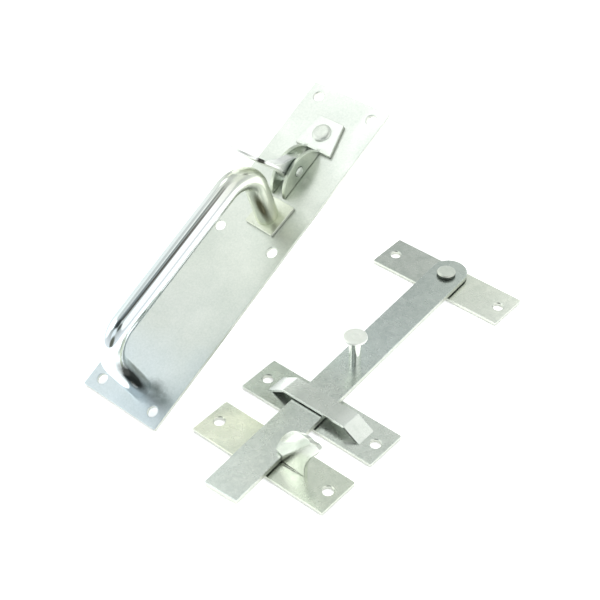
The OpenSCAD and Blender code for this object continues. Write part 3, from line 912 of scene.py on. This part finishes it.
def build_bridge():
    c, size = middle("keeper_bridge")
    lo, hi = (mm(q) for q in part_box("keeper_bridge"))
    b, a = size.x / 2, size.x / 2 - 10.0
    base, h = 2.0, hi.z - 2.0
    t = 1.5
    gap = h - t
    slope = math.atan(h / 10.0)
    k = t / math.sin(slope)
    s = t * math.tan(slope / 2)
    pts = [(-b, 0), (-b + k, 0), (-a + s, gap), (a - s, gap), (b - k, 0), (b, 0), (a, h), (-a, h)]
    loop = rounded(pts, [0.15, 0.15, 0.5, 0.5, 0.15, 0.15, 1.5, 1.5], 7)
    hw = size.y / 2
    body = sheet("hat", [loop], [rim(2 * hw, 0.26, 3)], lambda x, z, y: Vector((c.x + x, c.y + hw - y, base + z)))
    tenons = []
    for sgn in (-1, 1):
        x0 = sgn * (b - 2.2)
        tenons.append(sheet("tenon", [rounded([(x0 - 1, -3), (x0 + 1, -3), (x0 + 1, 3), (x0 - 1, 3)], 0.2)], [rim(2.35, 0.1, 1)],
                            lambda x, y, z: Vector((c.x + x, c.y + y, z))))
    ob = join("keeper_bridge_hat", body, *tenons)
    place_piece(ob, "keeper_bridge", "fixed_plates", Z_BRIDGE)


FOLD_X, FOLD_Z, FOLD_A, FOLD_R, HOOK_T, HOOK_Y = 19.7, 3.6, math.radians(50.4), 11.3, 2.4, -156.6


def build_hook():
    d = Vector((math.cos(FOLD_A), math.sin(FOLD_A)))
    e = Vector((-math.sin(FOLD_A), math.cos(FOLD_A)))
    f = Vector((FOLD_X, FOLD_Z))
    top = BAR_TOP
    pts = [(FOLD_X, 2.0), (FOLD_X, top + 0.7), (FOLD_X - 4.4, top + 0.9)]
    n = 40
    for i in range(n + 1):
        a = math.radians(166 - i * 158 / n)
        p = f + d * (13 + 17.2 * math.cos(a)) + e * (9.8 * math.sin(a))
        if p.y > top + 1.4:
            pts.append((p.x, p.y))
    pts += [(FOLD_X + 21.4, 28), (FOLD_X + 23, 26.5), (FOLD_X + 23, 25), (FOLD_X + 20.6, 21.2), (FOLD_X + 17.6, 17.2),
            (FOLD_X + 15.4, 12.6), (FOLD_X + 14.1, 8), (FOLD_X + 13.8, 2.0)]
    radii = [0.1, 0.4, 0.6] + [0] * (len(pts) - 11) + [1.0, 0.8, 0.8, 3, 6, 8, 8, 0.1]
    loop = ccw(rounded(pts, radii, 6))
    big = FOLD_R + HOOK_T

    def at(x, z, h):
        # h runs from the back face (0) to the front face (HOOK_T); the front is the outside of the roll
        q = Vector((x, z)) - f
        s, c = q.dot(d), q.dot(e)
        depth = HOOK_T - h
        if c <= 0:
            return Vector((x, HOOK_Y + depth, z))
        a = math.asin(min(0.999, c / big))
        r = big - depth
        c2, y2 = r * math.sin(a), big - r * math.cos(a)
        p = f + d * s + e * c2
        return Vector((p.x, HOOK_Y + y2, p.y))

    def outward(x, z, h):
        return at(x, z, h)

    body = sheet("hook", [loop], [rim(HOOK_T, 0.4, 3)], outward, grid=1.1)
    tenon = sheet("tenon", [[(FOLD_X + 3.5, HOOK_Y), (FOLD_X + 11, HOOK_Y), (FOLD_X + 11, HOOK_Y + HOOK_T), (FOLD_X + 3.5, HOOK_Y + HOOK_T)]],
                  [rim(2.4, 0.1, 1)], lambda x, y, z: Vector((x, y, z)))
    ob = join("catch_hook_bent", body, tenon)
    place_piece(ob, "catch_hook", "fixed_plates", Z_HOOK)


for build in (build_back_plate, build_handle, build_washer, build_bracket, build_bracket_rivet, build_pin, build_lever,
              build_strips, build_pivot_washer, build_bar, build_pivot_rivet, build_knob, build_bridge, build_hook):
    build()

# ---------------------------------------------------------------- floor, light, camera
scene = bpy.context.scene
scene.view_settings.view_transform = "Standard"
scene.view_settings.look = "None"
scene.view_settings.exposure = 0.0

me = bpy.data.meshes.new("floor")
me.from_pydata([(-3, -3, 0), (3, -3, 0), (3, 3, 0), (-3, 3, 0)], [], [(0, 1, 2, 3)])
floor = bpy.data.objects.new("floor", me)
floor.location.z = CAD_BOX[0][2] - 0.0001
scene.collection.objects.link(floor)
fm = bpy.data.materials.new("floor_white")
fm.use_nodes = True
fb = fm.node_tree.nodes["Principled BSDF"]
fb.inputs["Base Color"].default_value = (0.92, 0.92, 0.92, 1)
fb.inputs["Roughness"].default_value = 0.9
fb.inputs["Specular IOR Level"].default_value = 0.0
fb.inputs["Emission Color"].default_value = (1, 1, 1, 1)
fb.inputs["Emission Strength"].default_value = 0.45
me.materials.append(fm)

world = bpy.data.worlds.new("studio")
scene.world = world
world.use_nodes = True
wn = world.node_tree
bg = wn.nodes["Background"]
wtc = wn.nodes.new("ShaderNodeTexCoord")


def soft_patch(direction, inner, outer, colour):
    """Soft round panel of the light tent: full inside inner degrees, gone at outer degrees."""
    dot = wn.nodes.new("ShaderNodeVectorMath")
    dot.operation = "DOT_PRODUCT"
    dot.inputs[1].default_value = Vector(direction).normalized()
    wn.links.new(wtc.outputs["Generated"], dot.inputs[0])
    mr = wn.nodes.new("ShaderNodeMapRange")
    mr.interpolation_type = "SMOOTHSTEP"
    mr.inputs["From Min"].default_value = math.cos(math.radians(outer))
    mr.inputs["From Max"].default_value = math.cos(math.radians(inner))
    wn.links.new(dot.outputs["Value"], mr.inputs["Value"])
    mx = wn.nodes.new("ShaderNodeMix")
    mx.data_type = "RGBA"
    wn.links.new(mr.outputs[0], mx.inputs["Factor"])
    mx.inputs[7].default_value = (*colour, 1)
    return mx


sep = wn.nodes.new("ShaderNodeSeparateXYZ")
wn.links.new(wtc.outputs["Generated"], sep.inputs[0])
cr = wn.nodes.new("ShaderNodeValToRGB")
el = cr.color_ramp.elements
DOME = [(0.0, (0.95, 0.98, 1.0)), (0.28, (0.72, 0.75, 0.76)), (0.58, (0.48, 0.51, 0.50)), (0.66, (0.53, 0.56, 0.545)),
        (0.74, (0.66, 0.70, 0.68)), (0.82, (0.66, 0.70, 0.68)), (1.0, (0.80, 0.82, 0.82))]
el[0].position, el[0].color = DOME[0][0], (*DOME[0][1], 1)
el[1].position, el[1].color = DOME[-1][0], (*DOME[-1][1], 1)
for p, c in DOME[1:-1]:
    k = el.new(p)
    k.color = (*c, 1)
wn.links.new(sep.outputs["Z"], cr.inputs[0])
last = cr.outputs[0]
PATCHES = [
    ((-0.92, 0.02, 0.40), 16, 28, (0.98, 1.03, 1.00)),
    ((0.44, 0.54, 0.71), 10, 30, (1.02, 1.06, 1.01)),
    ((-0.72, -0.52, 0.46), 18, 27, (1.32, 1.35, 1.31)),
    ((-0.42, -0.57, 0.70), 7, 14, (2.05, 2.10, 2.06)),
    ((0.16, -0.12, 0.98), 12, 20, (0.62, 0.64, 0.60)),
    ((0.00, -0.54, 0.84), 12, 24, (0.28, 0.31, 0.32)),
    ((0.80, 0.00, 0.60), 21, 27, (1.20, 1.20, 1.18)),
    ((0.08, -0.53, 0.84), 10, 17, (0.05, 0.06, 0.06)),
    # two thin dark gaps between the panels, seen as lines along the grip
    ((0.43, -0.19, 0.88), 1.5, 5, (0.24, 0.23, 0.21)),
    ((0.37, -0.23, 0.90), 1.5, 5, (0.20, 0.19, 0.17)),
    ((0.31, -0.26, 0.91), 1.5, 5, (0.14, 0.13, 0.11)),
    ((0.22, -0.29, 0.93), 2, 6, (0.09, 0.09, 0.08)),
    ((0.05, -0.20, 0.98), 1.5, 4.5, (0.28, 0.30, 0.28)),
    ((-0.02, -0.24, 0.97), 1.5, 4.5, (0.28, 0.30, 0.28)),
    ((-0.11, -0.28, 0.95), 1.5, 5, (0.30, 0.34, 0.34)),
    ((-0.25, -0.19, 0.95), 4, 8, (1.00, 1.03, 0.98)),
    ((-0.50, 0.06, 0.865), 6.5, 13, (2.35, 2.38, 2.32)),
    ((0.22, -0.82, 0.53), 8, 18, (0.98, 1.04, 1.06)),
    ((0.40, -0.91, 0.18), 9, 20, (0.14, 0.15, 0.12)),
    ((0.52, -0.52, 0.68), 5, 13, (0.10, 0.11, 0.10)),
    ((-0.27, 0.72, 0.64), 5, 11, (1.20, 1.23, 1.15)),
    ((-0.60, 0.43, 0.67), 3, 9, (1.60, 1.60, 1.45)),
]
for direction, inner, outer, colour in PATCHES:
    mx = soft_patch(direction, inner, outer, colour)
    wn.links.new(last, mx.inputs[6])
    last = mx.outputs[2]
wn.links.new(last, bg.inputs["Color"])
bg.inputs["Strength"].default_value = 1.0


def area_light(name, loc, target, size, energy, color=(1, 1, 1), size_y=None):
    li = bpy.data.lights.new(name, "AREA")
    li.shape = "RECTANGLE"
    li.size, li.size_y = size, size_y or size
    li.energy = energy
    li.color = color
    ob = bpy.data.objects.new(name, li)
    ob.location = loc
    ob.rotation_euler = (Vector(target) - Vector(loc)).to_track_quat("-Z", "Y").to_euler()
    ob.visible_glossy = False
    scene.collection.objects.link(ob)
    return ob


lo, hi = (Vector(c) for c in CAD_BOX)
CENTRE = (lo + hi) / 2
area_light("softbox_key", CENTRE + Vector((-0.9, 0.5, 1.3)), CENTRE, 0.9, 16, (1, 1, 0.98))
area_light("softbox_fill", CENTRE + Vector((1.1, 0.3, 0.9)), CENTRE, 0.7, 7, (0.97, 1, 1))

cam = bpy.data.cameras.new("camera")
cam.lens = 78.942
cam.sensor_width = 36.0
cam.clip_start, cam.clip_end = 0.01, 20
cam_ob = bpy.data.objects.new("camera", cam)
right, up, back = Vector((0.75788, 0.65232, -0.00979)), Vector((-0.42104, 0.50053, 0.75644)), Vector((0.49833, -0.56917, 0.65399))
m = Matrix((right, up, back)).transposed().to_4x4()
m.translation = Vector((0.299454, -0.461757, 0.459750))
cam_ob.matrix_world = m
scene.collection.objects.link(cam_ob)
scene.camera = cam_ob
